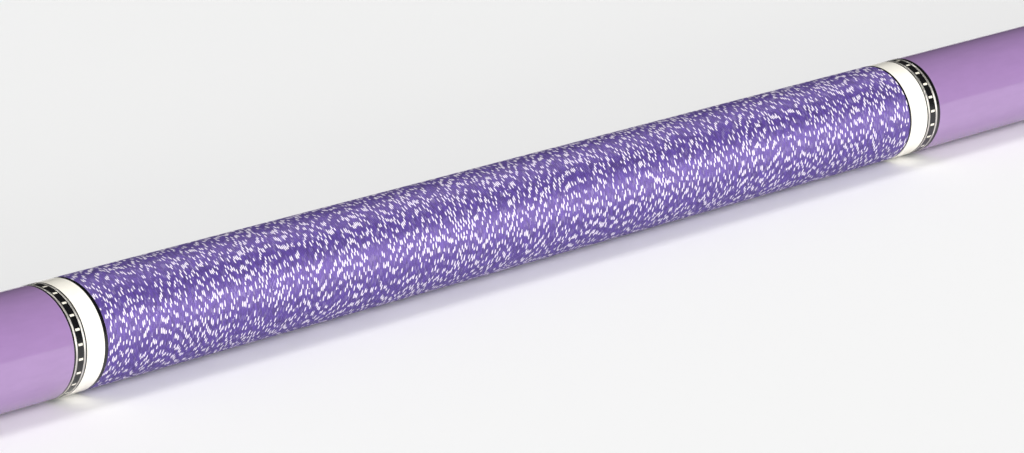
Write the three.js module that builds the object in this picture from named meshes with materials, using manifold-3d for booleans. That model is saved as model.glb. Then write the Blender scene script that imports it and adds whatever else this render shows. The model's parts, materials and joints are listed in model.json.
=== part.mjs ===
// Two-piece pool cue: a butt with a wound wrap between two sets of decorative rings, and a
// tapered shaft that screws onto the butt's joint pin. Millimetres, +Z up. The cue's axis is X,
// pointing from the butt to the tip, and the origin is the centre of the rubber bumper's end.
import * as THREE from 'three';
import { mergeVertices } from 'three/addons/utils/BufferGeometryUtils.js';
import Module from 'manifold-3d';

const wasm = await Module();
wasm.setup();

// Driving dimensions
const CUE_LENGTH = 1473;
const JOINT_X = 737;
const COLLAR_TO_COLLAR = 304.8;
const WRAP_MIDDLE_X = 320.4;
const MIDDLE_RADIUS = 14.19;
const BUTT_SLOPE = 0.0062;
const JOINT_RADIUS = 10.85;
const TIP_RADIUS = 6.5;
const DASH_PITCH = 3.95;
const DASH_LENGTH = 0.66;
const DASH_WIDTH = 1.5;
const BAND_WIDTH = 2.25;
const WRAP_THICKNESS = 0.55;
const PIN_RADIUS = 3.9;
const PIN_REACH = 25.4;
const GLUE = 0.1;
const HAIR = 0.02;
const SHELL_THICKNESS = 1.3;
const BLOCK_DEPTH = 4;
const BLOCK_ROOT = 0.6;
const SIDES = 24;
const SMALL_SIDES = 16;
const MERGE_DISTANCE = 1e-5;

// Turn of each dash band, in degrees up from the side that faces -Y to the middle of a dash
const BUTT_PHASE = 4;
const LOWER_PHASE = 9;
const UPPER_PHASE = 6.2;
const JOINT_PHASE = 2;

// Stations along the cue
const LOWER_COLLAR_X = WRAP_MIDDLE_X - COLLAR_TO_COLLAR / 2;
const UPPER_COLLAR_X = WRAP_MIDDLE_X + COLLAR_TO_COLLAR / 2;
const BUMPER_HEAD = 11;
const CAP_ROUND = 3;
const CAP_END_X = 38;
const SHAFT_TOP_X = 1446;
const PAD_X = 1464.2;
const TIP_X = 1465.2;

const LACQUER = { color: 0xa987bb, roughness: 0.12, metalness: 0 };
const WHITE = { color: 0xf2eee4, roughness: 0.2, metalness: 0 };
const BLACK = { color: 0x141216, roughness: 0.25, metalness: 0 };
const SILVER = { color: 0xc9c7c2, roughness: 0.22, metalness: 1 };
const STEEL = { color: 0xa9abad, roughness: 0.3, metalness: 1 };
const BRASS = { color: 0xc49a45, roughness: 0.3, metalness: 1 };
const MAPLE = { color: 0xdcc192, roughness: 0.4, metalness: 0 };
const LINEN = { color: 0x6f5a9e, roughness: 0.8, metalness: 0 };
const RUBBER = { color: 0x1b1b1d, roughness: 0.8, metalness: 0 };
const LEATHER = { color: 0x5b7a86, roughness: 0.9, metalness: 0 };
const FIBRE = { color: 0x26262a, roughness: 0.7, metalness: 0 };

const cue = new THREE.Group();

function add(name, geometry, look) {
  const mesh = new THREE.Mesh(geometry, new THREE.MeshStandardMaterial(look));
  mesh.name = name;
  cue.add(mesh);
}

// Outer radius of the butt, a straight cone up to the forearm and a quicker taper above it.
const UPPER_RINGS_LENGTH = 11.6;
const FOREARM_X = UPPER_COLLAR_X + UPPER_RINGS_LENGTH;
const FOREARM_LENGTH = JOINT_X - FOREARM_X;
const STRAIGHT_END = MIDDLE_RADIUS - BUTT_SLOPE * (FOREARM_X - WRAP_MIDDLE_X);
const FOREARM_CURVE = (STRAIGHT_END - BUTT_SLOPE * FOREARM_LENGTH - JOINT_RADIUS) / FOREARM_LENGTH ** 2;

function buttRadius(x) {
  const beyond = Math.max(0, x - FOREARM_X);
  return MIDDLE_RADIUS - BUTT_SLOPE * (x - WRAP_MIDDLE_X) - FOREARM_CURVE * beyond ** 2;
}

// Outer radius of the shaft: straight under its collar and ring, then narrowing, and from
// SHAFT_STRAIGHT_X on hardly changing.
const SHAFT_COLLAR_END_X = 750;
const SHAFT_RING_END_X = 751;
const SHAFT_STRAIGHT_X = 1130;
const SHAFT_STRAIGHT_RADIUS = 6.75;

function shaftRadius(x) {
  if (x > SHAFT_STRAIGHT_X) {
    const along = (x - SHAFT_STRAIGHT_X) / (CUE_LENGTH - SHAFT_STRAIGHT_X);
    return SHAFT_STRAIGHT_RADIUS + (TIP_RADIUS - SHAFT_STRAIGHT_RADIUS) * along;
  }
  const back = Math.min(1, (SHAFT_STRAIGHT_X - x) / (SHAFT_STRAIGHT_X - SHAFT_RING_END_X));
  return SHAFT_STRAIGHT_RADIUS + (JOINT_RADIUS - SHAFT_STRAIGHT_RADIUS) * back ** 1.5;
}

// A body turned about the cue's axis from [x, radius] points, with flat sides facing up and down.
function turned(points, sides = SIDES) {
  const profile = points.map(([x, radius]) => new THREE.Vector2(radius, x));
  const lathe = new THREE.LatheGeometry(profile, sides, Math.PI / sides, 2 * Math.PI);
  return lathe.rotateZ(-Math.PI / 2);
}

function tube(start, end, bore, outer = buttRadius, sides = SIDES) {
  const corners = [[start, bore], [start, outer(start)], [end, outer(end)], [end, bore]];
  return turned([...corners, corners[0]], sides);
}

function rod(start, end, radius, sides = SMALL_SIDES) {
  return turned([[start, 0], [start, radius], [end, radius], [end, 0]], sides);
}

function toSolid(geometry) {
  const bare = geometry.clone().toNonIndexed();
  bare.deleteAttribute('normal');
  bare.deleteAttribute('uv');
  const merged = mergeVertices(bare, MERGE_DISTANCE);
  const index = merged.index.array;
  const triVerts = [];
  for (let i = 0; i < index.length; i += 3) {
    const [a, b, c] = [index[i], index[i + 1], index[i + 2]];
    if (a !== b && b !== c && c !== a) triVerts.push(a, b, c);
  }
  const vertProperties = new Float32Array(merged.attributes.position.array);
  const mesh = new wasm.Mesh({ numProp: 3, vertProperties, triVerts: new Uint32Array(triVerts) });
  return new wasm.Manifold(mesh);
}

function toGeometry(solid) {
  const mesh = solid.getMesh();
  const geometry = new THREE.BufferGeometry();
  geometry.setAttribute('position', new THREE.Float32BufferAttribute(mesh.vertProperties, 3));
  geometry.setIndex([...mesh.triVerts]);
  return geometry;
}

// Rectangular blocks standing around the axis, centred on x and reaching out past the band.
function blocks(x, width, length, count, phase, innerRadius) {
  let all = null;
  for (let i = 0; i < count; i += 1) {
    const block = new THREE.BoxGeometry(width, BLOCK_DEPTH, length);
    block.translate(x, -(innerRadius + BLOCK_DEPTH / 2), 0);
    block.rotateX(-(phase + (2 * Math.PI * i) / count));
    const solid = toSolid(block);
    all = all ? all.add(solid) : solid;
  }
  return all;
}

// A black band with a row of windows, and the white inlay whose blocks fill them from inside.
function addDashBand(prefix, start, bore, phaseDegrees) {
  const end = start + BAND_WIDTH;
  const middle = (start + end) / 2;
  const count = Math.round((2 * Math.PI * buttRadius(middle)) / DASH_PITCH);
  const phase = THREE.MathUtils.degToRad(phaseDegrees);
  const shellBore = buttRadius(end) - SHELL_THICKNESS;
  const root = shellBore - BLOCK_ROOT;
  const windows = blocks(middle, DASH_WIDTH, DASH_LENGTH, count, phase, root);
  const shell = toSolid(tube(start, end, shellBore));
  add(`${prefix}_dash_ring`, toGeometry(shell.subtract(windows)), BLACK);

  const justInside = (x) => buttRadius(x) - HAIR;
  const hoop = toSolid(tube(start, end, bore, () => shellBore - GLUE));
  const teeth = blocks(middle, DASH_WIDTH - HAIR, DASH_LENGTH - HAIR, count, phase, root);
  const flush = teeth.intersect(toSolid(tube(start, end, bore, justInside)));
  add(`${prefix}_dash_inlay`, toGeometry(hoop.add(flush)), WHITE);
}

// Rings side by side from start, each given as [name, width, look]; a dash band has no look.
function addRings(prefix, start, bore, rings, phaseDegrees) {
  let x = start;
  for (const [name, width, look] of rings) {
    if (look) add(`${prefix}_${name}`, tube(x, x + width, bore), look);
    else addDashBand(prefix, x, bore, phaseDegrees);
    x += width;
  }
  return x;
}

// Bumper: a rubber head with a stem that pushes into the butt cap.
const STEM_RADIUS = 6;
const STEM_END_X = 24;
const HEAD_RADIUS = 12.6;
add('bumper', turned([
  [0, 0], [0, HEAD_RADIUS - 1.8], [1.4, HEAD_RADIUS - 0.5], [BUMPER_HEAD - 1, HEAD_RADIUS],
  [BUMPER_HEAD, HEAD_RADIUS - 0.4], [BUMPER_HEAD, STEM_RADIUS], [STEM_END_X - 1, STEM_RADIUS],
  [STEM_END_X, STEM_RADIUS - 0.8], [STEM_END_X, 0],
]), RUBBER);

// Butt cap: a round-edged collar, bored for the bumper's stem and for the core's lower tenon.
const STEM_BORE = 6.25;
const TENON_RADIUS = 9;
const TENON_X = 25;
const TENON_BORE = TENON_RADIUS + GLUE;
const CAP_ROUND_STEPS = 3;
const capEdge = [];
for (let i = 0; i <= CAP_ROUND_STEPS; i += 1) {
  const angle = (Math.PI / 2) * (i / CAP_ROUND_STEPS);
  const x = BUMPER_HEAD + CAP_ROUND * (1 - Math.cos(angle));
  capEdge.push([x, buttRadius(BUMPER_HEAD + CAP_ROUND) - CAP_ROUND * (1 - Math.sin(angle))]);
}
const capProfile = [
  [BUMPER_HEAD, STEM_BORE], ...capEdge, [CAP_END_X, buttRadius(CAP_END_X)],
  [CAP_END_X, TENON_BORE], [TENON_X - GLUE, TENON_BORE], [TENON_X - GLUE, STEM_BORE],
];
add('butt_cap', turned([...capProfile, capProfile[0]]), WHITE);

// Ring sets: butt, below the wrap, above the wrap and at the joint
const CORE_RADIUS = 11;
const CORE_TOP_RADIUS = 9.4;
const LOWER_RINGS = [
  ['edge_ring', 0.6, BLACK], ['outer_silver', 0.6, SILVER], ['dash', BAND_WIDTH, null],
  ['inner_silver', 0.62, SILVER], ['spacer', 0.45, BLACK], ['collar', 6.2, WHITE],
];
const UPPER_RINGS = [
  ['collar', 6.42, WHITE], ['spacer', 0.46, BLACK], ['inner_silver', 0.65, SILVER],
  ['dash', BAND_WIDTH, null], ['outer_silver', 0.66, SILVER], ['edge_ring', 1.16, BLACK],
];
const END_RINGS = [['inner_silver', 0.65, SILVER], ['dash', BAND_WIDTH, null], ['outer_silver', 0.65, SILVER]];
const LOWER_RINGS_X = LOWER_COLLAR_X - LOWER_RINGS.reduce((sum, ring) => sum + ring[1], 0);
const LOWER_STOP_WIDTH = 1.15;
const UPPER_STOP_WIDTH = 0.7;
const WRAP_START_X = LOWER_COLLAR_X + LOWER_STOP_WIDTH;
const WRAP_END_X = UPPER_COLLAR_X - UPPER_STOP_WIDTH;
const SLEEVE_START_X = addRings('butt', CAP_END_X, CORE_RADIUS + GLUE, END_RINGS, BUTT_PHASE);
addRings('lower', LOWER_RINGS_X, CORE_RADIUS + GLUE, LOWER_RINGS, LOWER_PHASE);
add('lower_wrap_stop', tube(LOWER_COLLAR_X, WRAP_START_X, CORE_RADIUS + GLUE), BLACK);
add('upper_wrap_stop', tube(WRAP_END_X, UPPER_COLLAR_X, CORE_TOP_RADIUS + GLUE), BLACK);
addRings('upper', UPPER_COLLAR_X, CORE_TOP_RADIUS + GLUE, UPPER_RINGS, UPPER_PHASE);

add('butt_sleeve', tube(SLEEVE_START_X, LOWER_RINGS_X, CORE_RADIUS + GLUE), LACQUER);
add('wrap', turned([
  [WRAP_START_X, buttRadius(WRAP_START_X) - WRAP_THICKNESS], [WRAP_START_X, buttRadius(WRAP_START_X)],
  [WRAP_END_X, buttRadius(WRAP_END_X)], [WRAP_END_X, buttRadius(WRAP_END_X) - WRAP_THICKNESS],
  [WRAP_START_X, buttRadius(WRAP_START_X) - WRAP_THICKNESS],
]), LINEN);

// Handle core: one rod under the sleeve, the rings and the wrap, bored for the weight bolt below
// and for the stud above.
const BOLT_RADIUS = 4.7;
const BOLT_BORE = 4.8;
const BOLT_BORE_END_X = 96;
const BOLT_START_X = 44;
const BOLT_END_X = 92;
const STUD_RADIUS = 3.9;
const STUD_BORE = 4;
const STUD_START_X = 500;
const STUD_END_X = 548;
const CORE_END_X = 524;
const underWrap = (x) => buttRadius(x) - WRAP_THICKNESS - GLUE;
const coreProfile = [
  [BOLT_BORE_END_X, 0], [BOLT_BORE_END_X, BOLT_BORE], [TENON_X, BOLT_BORE], [TENON_X, TENON_RADIUS],
  [CAP_END_X + GLUE, TENON_RADIUS], [CAP_END_X + GLUE, CORE_RADIUS], [WRAP_START_X + GLUE, CORE_RADIUS],
  [WRAP_START_X + GLUE, underWrap(WRAP_START_X)], [WRAP_END_X - GLUE, underWrap(WRAP_END_X)],
  [WRAP_END_X - GLUE, CORE_TOP_RADIUS], [CORE_END_X, CORE_TOP_RADIUS], [CORE_END_X, STUD_BORE],
  [STUD_START_X - GLUE, STUD_BORE], [STUD_START_X - GLUE, 0],
];
add('handle_core', turned(coreProfile), MAPLE);
add('handle_stud', rod(STUD_START_X, STUD_END_X, STUD_RADIUS), STEEL);

// Weight bolt: a steel slug with a hexagonal key socket in its lower end.
const boltBody = toSolid(rod(BOLT_START_X, BOLT_END_X, BOLT_RADIUS));
const KEY_RADIUS = 2.7;
const KEY_DEPTH = 7;
const keySocket = toSolid(rod(BOLT_START_X - 1, BOLT_START_X + KEY_DEPTH, KEY_RADIUS, 6));
add('weight_bolt', toGeometry(boltBody.subtract(keySocket)), STEEL);

// Forearm: bored below for the core and the stud, with a front tenon that holds the joint rings,
// the joint collar and the pin.
const JOINT_TENON_RADIUS = 7.6;
const JOINT_RINGS_X = 712.5;
const PIN_START_X = 702;
const FOREARM_STEPS = 5;
const forearmOutside = [];
for (let i = 0; i <= FOREARM_STEPS; i += 1) {
  const x = FOREARM_X + ((JOINT_RINGS_X - FOREARM_X) * i) / FOREARM_STEPS;
  forearmOutside.push([x, buttRadius(x)]);
}
const forearmProfile = [
  [STUD_END_X + GLUE, 0], [STUD_END_X + GLUE, STUD_BORE], [CORE_END_X + GLUE, STUD_BORE],
  [CORE_END_X + GLUE, CORE_TOP_RADIUS + GLUE], [FOREARM_X, CORE_TOP_RADIUS + GLUE], ...forearmOutside,
  [JOINT_RINGS_X, JOINT_TENON_RADIUS], [JOINT_X - GLUE, JOINT_TENON_RADIUS], [JOINT_X - GLUE, STUD_BORE],
  [PIN_START_X - GLUE, STUD_BORE], [PIN_START_X - GLUE, 0],
];
add('forearm', turned(forearmProfile), LACQUER);
const JOINT_COLLAR_X = addRings('joint', JOINT_RINGS_X, JOINT_TENON_RADIUS + GLUE, END_RINGS, JOINT_PHASE);
add('joint_collar', tube(JOINT_COLLAR_X, JOINT_X, JOINT_TENON_RADIUS + GLUE), WHITE);
const PIN_END_X = JOINT_X + PIN_REACH;
add('joint_pin', turned([
  [PIN_START_X, 0], [PIN_START_X, PIN_RADIUS], [PIN_END_X - 2, PIN_RADIUS], [PIN_END_X, PIN_RADIUS - 1.6],
  [PIN_END_X, 0],
], SMALL_SIDES), STEEL);

// Shaft: a brass insert that takes the pin, a collar and a ring on the shaft's tenon, the maple
// itself, and the ferrule, pad and leather tip at its end.
const INSERT_RADIUS = 5.8;
const INSERT_BORE = 4.15;
const INSERT_START_X = JOINT_X + 0.3;
const INSERT_END_X = 766;
const SHAFT_START_X = JOINT_X + 0.2;
const SHAFT_BORE = 6.05;
const SHAFT_BORE_END_X = INSERT_END_X + 4;
const SHAFT_TENON_RADIUS = 7.6;
add('shaft_insert', tube(INSERT_START_X, INSERT_END_X, INSERT_BORE, () => INSERT_RADIUS, SMALL_SIDES), BRASS);
const SHAFT_TENON_BORE = SHAFT_TENON_RADIUS + GLUE;
add('shaft_collar', tube(JOINT_X, SHAFT_COLLAR_END_X, SHAFT_TENON_BORE, shaftRadius), WHITE);
add('shaft_silver', tube(SHAFT_COLLAR_END_X, SHAFT_RING_END_X, SHAFT_TENON_BORE, shaftRadius), SILVER);

const FERRULE_TENON_RADIUS = 4.2;
const FERRULE_TENON_X = 1460;
const shaftStations = [SHAFT_RING_END_X, 830, 910, 990, 1060, SHAFT_STRAIGHT_X, SHAFT_TOP_X];
const shaftProfile = [
  [SHAFT_BORE_END_X, 0], [SHAFT_BORE_END_X, SHAFT_BORE], [SHAFT_START_X, SHAFT_BORE],
  [SHAFT_START_X, SHAFT_TENON_RADIUS], [SHAFT_RING_END_X, SHAFT_TENON_RADIUS],
  ...shaftStations.map((x) => [x, shaftRadius(x)]),
  [SHAFT_TOP_X, FERRULE_TENON_RADIUS], [FERRULE_TENON_X, FERRULE_TENON_RADIUS], [FERRULE_TENON_X, 0],
];
add('shaft', turned(shaftProfile), MAPLE);
add('ferrule', turned([
  [FERRULE_TENON_X + GLUE, 0], [FERRULE_TENON_X + GLUE, FERRULE_TENON_RADIUS + GLUE],
  [SHAFT_TOP_X, FERRULE_TENON_RADIUS + GLUE], [SHAFT_TOP_X, shaftRadius(SHAFT_TOP_X)],
  [PAD_X, shaftRadius(PAD_X)], [PAD_X, 0],
]), WHITE);
add('tip_pad', rod(PAD_X, TIP_X, TIP_RADIUS, SIDES), FIBRE);

// Tip: a short leather cylinder with a domed end.
const DOME_START_X = 1469.6;
const DOME_STEPS = 4;
const domeHeight = CUE_LENGTH - DOME_START_X;
const domeRadius = (TIP_RADIUS ** 2 + domeHeight ** 2) / (2 * domeHeight);
const domeAngle = Math.asin(TIP_RADIUS / domeRadius);
const tipProfile = [[TIP_X, 0], [TIP_X, TIP_RADIUS]];
for (let i = 0; i <= DOME_STEPS; i += 1) {
  const angle = domeAngle * (1 - i / DOME_STEPS);
  tipProfile.push([CUE_LENGTH - domeRadius * (1 - Math.cos(angle)), domeRadius * Math.sin(angle)]);
}
add('tip', turned(tipProfile), LEATHER);

export default cue;
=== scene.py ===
"""A two-piece pool cue: lilac lacquered butt, flecked linen wrap, dashed ring sets and a maple shaft."""
import json
import math

import bpy
import numpy as np
from mathutils import Matrix, Vector

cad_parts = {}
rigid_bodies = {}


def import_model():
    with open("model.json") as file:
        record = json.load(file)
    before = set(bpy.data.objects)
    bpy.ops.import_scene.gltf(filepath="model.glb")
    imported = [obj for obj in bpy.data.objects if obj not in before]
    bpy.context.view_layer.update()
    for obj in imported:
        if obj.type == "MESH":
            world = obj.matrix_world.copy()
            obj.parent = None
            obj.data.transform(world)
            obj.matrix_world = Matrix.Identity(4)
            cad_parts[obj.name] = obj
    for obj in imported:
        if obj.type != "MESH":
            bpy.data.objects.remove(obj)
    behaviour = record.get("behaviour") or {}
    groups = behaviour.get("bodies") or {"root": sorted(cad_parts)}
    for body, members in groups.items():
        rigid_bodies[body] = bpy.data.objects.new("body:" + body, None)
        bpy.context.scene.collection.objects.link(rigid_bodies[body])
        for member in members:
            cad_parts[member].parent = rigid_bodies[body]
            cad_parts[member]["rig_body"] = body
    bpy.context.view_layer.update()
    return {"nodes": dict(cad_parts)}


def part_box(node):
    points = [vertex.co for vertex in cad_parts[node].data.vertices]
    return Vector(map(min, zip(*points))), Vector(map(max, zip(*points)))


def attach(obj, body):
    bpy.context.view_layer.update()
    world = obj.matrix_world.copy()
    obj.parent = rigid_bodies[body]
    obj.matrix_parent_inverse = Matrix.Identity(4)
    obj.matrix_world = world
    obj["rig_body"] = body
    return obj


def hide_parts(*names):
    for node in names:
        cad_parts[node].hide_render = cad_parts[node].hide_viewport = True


bl_info = {
    "name": "Pool Cue",
    "version": (1, 0, 0),
    "blender": (4, 5, 0),
    "location": "View3D > Sidebar > Pool Cue",
    "description": "Builds the fine pieces of a two-piece pool cue over its solid model",
    "category": "Add Mesh",
}

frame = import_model()
MM = 0.001
SIDES = 96
THREAD_STEPS = 48
FULL_TURN = 2 * math.pi

# Along the cue from the butt, in millimetres.
JOINT_X = 737
FOREARM_X = 484.4
SHAFT_RING_END_X = 751
SHAFT_STRAIGHT_X = 1130
CUE_LENGTH = 1473
WRAP_MIDDLE_X = 320.4

# The butt's straight cone.
WRAP_MIDDLE_RADIUS = 14.19
TAPER = 0.0062

# Radii and gaps of the hidden fits, in millimetres.
GLUE = 0.1
CORE_RADIUS = 11
CORE_TOP_RADIUS = 9.4
TENON_RADIUS = 7.6
CAP_TENON_RADIUS = 9
STUD_HOLE_RADIUS = 4
STEM_HOLE_RADIUS = 6.25
FERRULE_TENON_RADIUS = 4.2
WRAP_THICKNESS = 0.55
DASH_SHELL = 1.3
DASH_ROOT = 1.2


def butt_radius(x):
    """Outside of the butt: a straight cone up to the forearm, then a slightly quicker taper."""
    cone = WRAP_MIDDLE_RADIUS - TAPER * (x - WRAP_MIDDLE_X)
    return cone - 1.1866e-5 * np.maximum(0, x - FOREARM_X) ** 2


def shaft_radius(x):
    """Outside of the shaft: straight under its collar, then a curve into a long thin cone."""
    back = min(1, max(0, (SHAFT_STRAIGHT_X - x) / (SHAFT_STRAIGHT_X - SHAFT_RING_END_X)))
    along = max(0, (x - SHAFT_STRAIGHT_X) / (CUE_LENGTH - SHAFT_STRAIGHT_X))
    return 6.75 + 4.1 * back ** 1.5 - 0.25 * along


def span(node):
    """Where a solid starts and ends along the cue, in millimetres."""
    low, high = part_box(node)
    return low.x / MM, high.x / MM


# ---------------------------------------------------------------- sizes and colours to change

def linear(code):
    """An sRGB hex colour as the linear colour that shaders take."""
    shares = [int(code[i:i + 2], 16) / 255 for i in (1, 3, 5)]
    return tuple(s / 12.92 if s <= 0.04045 else ((s + 0.055) / 1.055) ** 2.4 for s in shares)


def length(name, description, millimetres):
    """A length that the panel shows, given in millimetres."""
    return bpy.props.FloatProperty(
        name=name, description=description, default=millimetres * MM, min=0, precision=5, unit="LENGTH")


def colour(name, description, code):
    """A colour that the panel shows, given as sRGB hex."""
    return bpy.props.FloatVectorProperty(
        name=name, description=description, default=linear(code), min=0, max=1, subtype="COLOR")


class CueSizes(bpy.types.PropertyGroup):
    """Fine sizes of the rings, dashes and thread"""
    ring_edge: length("Ring edge", "Eased edge of every turned ring", 0.05)
    dash_spacing: length("Dash spacing", "From one dash to the next round a band", 3.95)
    dash_width: length("Dash width", "Size of a dash round the cue", 0.66)
    dash_length: length("Dash length", "Size of a dash along the cue", 1.5)
    thread_pitch: length("Thread pitch", "Width of one turn of the wrap's thread", 0.56)
    thread_rise: length("Thread rise", "How far a thread stands out of the groove beside it", 0.11)
    fleck_spacing: length("Fleck spacing", "Along the thread, from one turn of the pale ply to the next", 3.15)
    pin_pitch: length("Pin pitch", "Travel of the joint's thread in one turn", 1.814)


class CueColours(bpy.types.PropertyGroup):
    """Colours of the finishes"""
    lacquer: colour("Lacquer", "Lilac of the sleeve and the forearm", "#8F709F")
    thread: colour("Thread", "Violet plies of the wrap", "#473281")
    fleck: colour("Fleck", "Pale ply of the wrap", "#F2ECF3")
    collar: colour("Collar", "Cap, collars and ferrule", "#EFEBE0")
    dash: colour("Dash", "Inlaid dashes", "#E6E1D2")
    black: colour("Black", "Black rings and dash bands", "#0B0A0C")
    silver: colour("Silver", "Nickel silver rings", "#E6E2DA")
    maple: colour("Maple", "Pale wood of the shaft", "#DCCBAA")
    floor: colour("Floor", "Plain floor", "#F6F6F6")


# ---------------------------------------------------------------- shaping

def start_mesh(name, x, radius):
    """A new mesh of one corner at x and radius, open in edit mode and selected."""
    bpy.ops.object.select_all(action="DESELECT")
    bpy.ops.mesh.primitive_plane_add(size=MM)
    piece = bpy.context.object
    piece.name = name
    piece.data.name = name
    bpy.ops.object.mode_set(mode="EDIT")
    bpy.ops.mesh.select_all(action="SELECT")
    bpy.ops.mesh.merge(type="CENTER")
    bpy.ops.transform.translate(value=(x * MM, 0, radius * MM))
    return piece


def draw(name, outline):
    """A line in the cue's upright plane through the outline's (x, radius) points, in edit mode."""
    piece = start_mesh(name, *outline[0])
    for (x, radius), (next_x, next_radius) in zip(outline, outline[1:]):
        step = ((next_x - x) * MM, 0, (next_radius - radius) * MM)
        bpy.ops.mesh.extrude_vertices_move(TRANSFORM_OT_translate={"value": step})
    return piece


def close(piece, sharp=32):
    """Merges seams and poles, turns the faces outwards, leaves edit mode and smooths all but sharp edges."""
    bpy.ops.mesh.select_all(action="SELECT")
    bpy.ops.mesh.remove_doubles(threshold=MM / 1000)
    bpy.ops.mesh.normals_make_consistent(inside=False)
    bpy.ops.object.mode_set(mode="OBJECT")
    bpy.ops.object.shade_smooth_by_angle(angle=math.radians(sharp))
    return piece


def turn(name, outline):
    """A piece turned on the lathe from its section, which closes on itself or meets the axis twice."""
    piece = draw(name, outline)
    bpy.ops.mesh.select_all(action="SELECT")
    bpy.ops.mesh.spin(steps=SIDES, angle=FULL_TURN, center=(0, 0, 0), axis=(1, 0, 0), use_auto_merge=True)
    return close(piece)


def outside(start, end, radius, edge):
    """Points along the outside from start to end with both corners eased, close enough to follow a curve."""
    count = max(1, round((end - start) / 16))
    xs = [start + edge + (end - start - 2 * edge) * i / count for i in range(count + 1)]
    return [(start, radius(start) - edge), *((x, radius(x)) for x in xs), (end, radius(end) - edge)]


def ring(name, start, end, bore, radius=butt_radius):
    """A turned tube with eased outer edges, bored right through."""
    edge = bpy.context.scene.cue_sizes.ring_edge / MM
    skin = outside(start, end, radius, edge)
    return turn(name, [(start, bore), *skin, (end, bore), (start, bore)])


def modify(piece, kind, **settings):
    """Adds a modifier and applies it at once."""
    modifier = piece.modifiers.new(kind.title(), kind)
    for key, value in settings.items():
        setattr(modifier, key, value)
    bpy.context.view_layer.objects.active = piece
    bpy.ops.object.modifier_apply(modifier=modifier.name)


def cut(piece, tool, operation):
    """Cuts, keeps or joins a piece with a tool piece, which is then thrown away."""
    modify(piece, "BOOLEAN", object=tool, operation=operation, solver="EXACT")
    bpy.data.objects.remove(tool)


def corners(piece):
    """The piece's corners as an array."""
    points = np.empty(len(piece.data.vertices) * 3)
    piece.data.vertices.foreach_get("co", points)
    return points.reshape(-1, 3)


def place_corners(piece, points):
    """Moves the piece's corners to the array's points."""
    piece.data.vertices.foreach_set("co", points.ravel())
    piece.data.update()


def wind(name, first, last, start, pitch, ridge, radius, limit=None, steps=64):
    """A helical skin from first to last, in edit mode with its ends open.

    ridge is one turn's section as (share of the pitch, height) points standing on radius(x). The thread
    starts at start and keeps its step there, so that two skins can carry on one helix. limit(x) caps
    the radius, as a chamfer does.
    """
    base = 20
    before = math.floor((first - start) / pitch) - 1
    turns = math.ceil((last - first) / pitch) + 2
    section = [(start + (before + share) * pitch, base + height) for share, height in ridge]
    piece = draw(name, section)
    bpy.ops.object.mode_set(mode="OBJECT")
    modify(piece, "SCREW", axis="X", angle=FULL_TURN, screw_offset=pitch * MM, iterations=turns,
           steps=steps, render_steps=steps, use_merge_vertices=False)
    # After hundreds of turns the edges that meet are a few thousandths of a millimetre apart.
    bpy.ops.object.mode_set(mode="EDIT")
    bpy.ops.mesh.select_all(action="SELECT")
    bpy.ops.mesh.remove_doubles(threshold=MM / 50)
    bpy.ops.object.mode_set(mode="OBJECT")
    points = corners(piece)
    x = points[:, 0] / MM
    drawn = np.hypot(points[:, 1], points[:, 2]) / MM
    wanted = drawn - base + radius(x)
    if limit:
        wanted = np.minimum(wanted, limit(x))
    points[:, 1:] *= (wanted / drawn)[:, None]
    place_corners(piece, points)
    bpy.ops.object.mode_set(mode="EDIT")
    for at, ends in ((first, {"clear_inner": True}), (last, {"clear_outer": True})):
        bpy.ops.mesh.select_all(action="SELECT")
        bpy.ops.mesh.bisect(plane_co=(at * MM, 0, 0), plane_no=(1, 0, 0), threshold=MM / 1e4, **ends)
    return piece


def level(radius):
    """A radius that stays the same all along."""
    return lambda x: np.full_like(x, radius)


def wall(piece, radius):
    """Gives an open helical skin its other wall at radius(x), and closes both ends."""
    bpy.ops.mesh.select_all(action="DESELECT")
    bpy.ops.mesh.select_non_manifold()
    bpy.ops.mesh.extrude_edges_move()
    bpy.ops.object.mode_set(mode="OBJECT")
    points = corners(piece)
    chosen = np.array([corner.select for corner in piece.data.vertices])
    drawn = np.hypot(points[chosen, 1], points[chosen, 2])
    points[chosen, 1:] *= (radius(points[chosen, 0] / MM) * MM / drawn)[:, None]
    place_corners(piece, points)
    bpy.ops.object.mode_set(mode="EDIT")
    bpy.ops.mesh.bridge_edge_loops()
    return close(piece, 50)


def blocks(name, middle, radius, size, count, phase):
    """Small eased blocks round the axis. size is along the cue, in depth and round it."""
    bpy.ops.object.select_all(action="DESELECT")
    angle = math.radians(phase)
    bpy.ops.mesh.primitive_cube_add(
        size=MM, rotation=(-angle, 0, 0), scale=size,
        location=(middle * MM, -radius * math.cos(angle) * MM, radius * math.sin(angle) * MM))
    piece = bpy.context.object
    piece.name = name
    bpy.ops.object.transform_apply(location=True, rotation=True, scale=True)
    bpy.ops.object.mode_set(mode="EDIT")
    bpy.ops.mesh.select_all(action="SELECT")
    bpy.ops.mesh.bevel(offset=0.09 * MM, segments=2, affect="EDGES")
    bpy.ops.mesh.select_all(action="SELECT")
    bpy.ops.mesh.spin(steps=count - 1, angle=FULL_TURN * (count - 1) / count, dupli=True,
                      center=(0, 0, 0), axis=(1, 0, 0))
    bpy.ops.mesh.select_all(action="SELECT")
    bpy.ops.mesh.normals_make_consistent(inside=False)
    bpy.ops.object.mode_set(mode="OBJECT")
    return piece


def fit(piece, body, slot, node, *materials):
    """Finishes a piece: its materials and the body that it moves with, and hides the solid it stands for. slot
    is not used.
    """
    piece.data.materials.clear()
    for material in materials:
        piece.data.materials.append(material)
    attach(piece, body)
    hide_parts(node)


def body_of(node):
    """The body that a solid rides on."""
    return frame["nodes"][node]["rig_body"]


# ---------------------------------------------------------------- materials

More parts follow.
